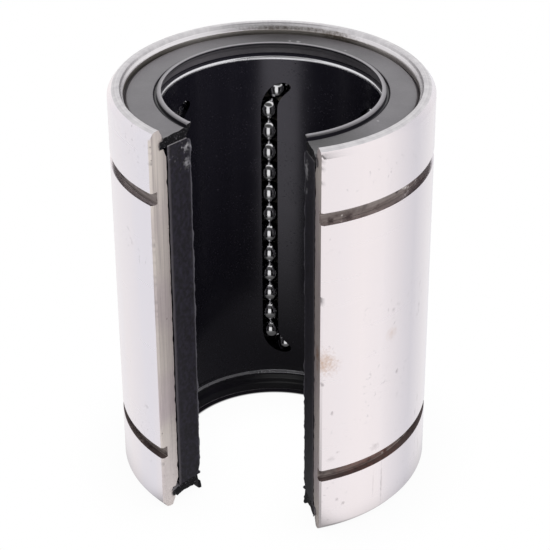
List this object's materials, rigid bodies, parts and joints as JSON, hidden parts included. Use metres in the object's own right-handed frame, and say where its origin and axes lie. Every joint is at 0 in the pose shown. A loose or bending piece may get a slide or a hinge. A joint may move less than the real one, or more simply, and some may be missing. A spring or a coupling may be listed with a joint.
{
  "type": "open-type linear ball bearing",
  "caption": "Slotted steel sleeve with ring grooves, a black cage of recirculating ball tracks and lipped end seals; slides along a rail-supported round shaft.",
  "frame": {"origin": "on the bore's axis at mid-length", "axes": "+Z along the bore, towards the upper end; the slot for the shaft's support faces -Y"},
  "size_m": [0.052, 0.0483, 0.07],
  "materials": {
    "ground_steel": "ground and polished",
    "ball_steel": "polished",
    "moulded_cage": "glossy moulded",
    "seal_rubber": "satin moulded"
  },
  "bodies": {
    "shell": {"outer_sleeve": "ground_steel", "ball_retainer": "moulded_cage", "upper_end_seal": "seal_rubber", "lower_end_seal": "seal_rubber"},
    "circuit_1_load_row_balls": {"circuit_1_load_row": "ball_steel"},
    "circuit_1_return_row_balls": {"circuit_1_return_row": "ball_steel"},
    "circuit_1_upper_turn_balls": {"circuit_1_upper_turn": "ball_steel"},
    "circuit_1_lower_turn_balls": {"circuit_1_lower_turn": "ball_steel"},
    "circuit_2_load_row_balls": {"circuit_2_load_row": "ball_steel"},
    "circuit_2_return_row_balls": {"circuit_2_return_row": "ball_steel"},
    "circuit_2_upper_turn_balls": {"circuit_2_upper_turn": "ball_steel"},
    "circuit_2_lower_turn_balls": {"circuit_2_lower_turn": "ball_steel"},
    "circuit_3_load_row_balls": {"circuit_3_load_row": "ball_steel"},
    "circuit_3_return_row_balls": {"circuit_3_return_row": "ball_steel"},
    "circuit_3_upper_turn_balls": {"circuit_3_upper_turn": "ball_steel"},
    "circuit_3_lower_turn_balls": {"circuit_3_lower_turn": "ball_steel"},
    "circuit_4_load_row_balls": {"circuit_4_load_row": "ball_steel"},
    "circuit_4_return_row_balls": {"circuit_4_return_row": "ball_steel"},
    "circuit_4_upper_turn_balls": {"circuit_4_upper_turn": "ball_steel"},
    "circuit_4_lower_turn_balls": {"circuit_4_lower_turn": "ball_steel"},
    "circuit_5_load_row_balls": {"circuit_5_load_row": "ball_steel"},
    "circuit_5_return_row_balls": {"circuit_5_return_row": "ball_steel"},
    "circuit_5_upper_turn_balls": {"circuit_5_upper_turn": "ball_steel"},
    "circuit_5_lower_turn_balls": {"circuit_5_lower_turn": "ball_steel"}
  },
  "joints": [
    {"name": "circuit_1_roll", "type": "slide", "parent": "shell", "child": "circuit_1_load_row_balls", "axis": [0, 0, 1], "range_m": [-0.00331, 0.00071]},
    {"name": "circuit_1_return_roll", "type": "slide", "parent": "shell", "child": "circuit_1_return_row_balls", "axis": [0, 0, 1], "range_m": [-0.00071, 0.00331]},
    {"name": "circuit_1_upper_bend", "type": "hinge", "parent": "shell", "child": "circuit_1_upper_turn_balls", "pos_m": [0.01791, -0.00889, 0.02211], "axis": [0.8957, -0.4446, 0], "range_deg": [-49.4, 10.6]},
    {"name": "circuit_1_lower_bend", "type": "hinge", "parent": "shell", "child": "circuit_1_lower_turn_balls", "pos_m": [0.01791, -0.00889, -0.02211], "axis": [0.8957, -0.4446, 0], "range_deg": [-49.4, 10.6]},
    {"name": "circuit_2_roll", "type": "slide", "parent": "shell", "child": "circuit_2_load_row_balls", "axis": [0, 0, 1], "range_m": [-0.00331, 0.00071]},
    {"name": "circuit_2_return_roll", "type": "slide", "parent": "shell", "child": "circuit_2_return_row_balls", "axis": [0, 0, 1], "range_m": [-0.00071, 0.00331]},
    {"name": "circuit_2_upper_bend", "type": "hinge", "parent": "shell", "child": "circuit_2_upper_turn_balls", "pos_m": [0.01666, 0.01107, 0.02211], "axis": [0.8329, 0.5534, 0], "range_deg": [-49.4, 10.6]},
    {"name": "circuit_2_lower_bend", "type": "hinge", "parent": "shell", "child": "circuit_2_lower_turn_balls", "pos_m": [0.01666, 0.01107, -0.02211], "axis": [0.8329, 0.5534, 0], "range_deg": [-49.4, 10.6]},
    {"name": "circuit_3_roll", "type": "slide", "parent": "shell", "child": "circuit_3_load_row_balls", "axis": [0, 0, 1], "range_m": [-0.00331, 0.00071]},
    {"name": "circuit_3_return_roll", "type": "slide", "parent": "shell", "child": "circuit_3_return_row_balls", "axis": [0, 0, 1], "range_m": [-0.00071, 0.00331]},
    {"name": "circuit_3_upper_bend", "type": "hinge", "parent": "shell", "child": "circuit_3_upper_turn_balls", "pos_m": [-0.00126, 0.01996, 0.02211], "axis": [-0.0628, 0.998, 0], "range_deg": [-49.4, 10.6]},
    {"name": "circuit_3_lower_bend", "type": "hinge", "parent": "shell", "child": "circuit_3_lower_turn_balls", "pos_m": [-0.00126, 0.01996, -0.02211], "axis": [-0.0628, 0.998, 0], "range_deg": [-49.4, 10.6]},
    {"name": "circuit_4_roll", "type": "slide", "parent": "shell", "child": "circuit_4_load_row_balls", "axis": [0, 0, 1], "range_m": [-0.00331, 0.00071]},
    {"name": "circuit_4_return_roll", "type": "slide", "parent": "shell", "child": "circuit_4_return_row_balls", "axis": [0, 0, 1], "range_m": [-0.00071, 0.00331]},
    {"name": "circuit_4_upper_bend", "type": "hinge", "parent": "shell", "child": "circuit_4_upper_turn_balls", "pos_m": [-0.01791, 0.00889, 0.02211], "axis": [-0.8957, 0.4446, 0], "range_deg": [-49.4, 10.6]},
    {"name": "circuit_4_lower_bend", "type": "hinge", "parent": "shell", "child": "circuit_4_lower_turn_balls", "pos_m": [-0.01791, 0.00889, -0.02211], "axis": [-0.8957, 0.4446, 0], "range_deg": [-49.4, 10.6]},
    {"name": "circuit_5_roll", "type": "slide", "parent": "shell", "child": "circuit_5_load_row_balls", "axis": [0, 0, 1], "range_m": [-0.00331, 0.00071]},
    {"name": "circuit_5_return_roll", "type": "slide", "parent": "shell", "child": "circuit_5_return_row_balls", "axis": [0, 0, 1], "range_m": [-0.00071, 0.00331]},
    {"name": "circuit_5_upper_bend", "type": "hinge", "parent": "shell", "child": "circuit_5_upper_turn_balls", "pos_m": [-0.01666, -0.01107, 0.02211], "axis": [-0.8329, -0.5534, 0], "range_deg": [-49.4, 10.6]},
    {"name": "circuit_5_lower_bend", "type": "hinge", "parent": "shell", "child": "circuit_5_lower_turn_balls", "pos_m": [-0.01666, -0.01107, -0.02211], "axis": [-0.8329, -0.5534, 0], "range_deg": [-49.4, 10.6]}
  ],
  "couplings": [
    {"joint": "circuit_1_return_roll", "follows": "circuit_1_roll", "ratio": -1},
    {"joint": "circuit_1_upper_bend", "follows": "circuit_1_roll", "rad_per_m": 260.5},
    {"joint": "circuit_1_lower_bend", "follows": "circuit_1_roll", "rad_per_m": 260.5},
    {"joint": "circuit_2_return_roll", "follows": "circuit_2_roll", "ratio": -1},
    {"joint": "circuit_2_upper_bend", "follows": "circuit_2_roll", "rad_per_m": 260.5},
    {"joint": "circuit_2_lower_bend", "follows": "circuit_2_roll", "rad_per_m": 260.5},
    {"joint": "circuit_3_return_roll", "follows": "circuit_3_roll", "ratio": -1},
    {"joint": "circuit_3_upper_bend", "follows": "circuit_3_roll", "rad_per_m": 260.5},
    {"joint": "circuit_3_lower_bend", "follows": "circuit_3_roll", "rad_per_m": 260.5},
    {"joint": "circuit_4_return_roll", "follows": "circuit_4_roll", "ratio": -1},
    {"joint": "circuit_4_upper_bend", "follows": "circuit_4_roll", "rad_per_m": 260.5},
    {"joint": "circuit_4_lower_bend", "follows": "circuit_4_roll", "rad_per_m": 260.5},
    {"joint": "circuit_5_return_roll", "follows": "circuit_5_roll", "ratio": -1},
    {"joint": "circuit_5_upper_bend", "follows": "circuit_5_roll", "rad_per_m": 260.5},
    {"joint": "circuit_5_lower_bend", "follows": "circuit_5_roll", "rad_per_m": 260.5}
  ]
}
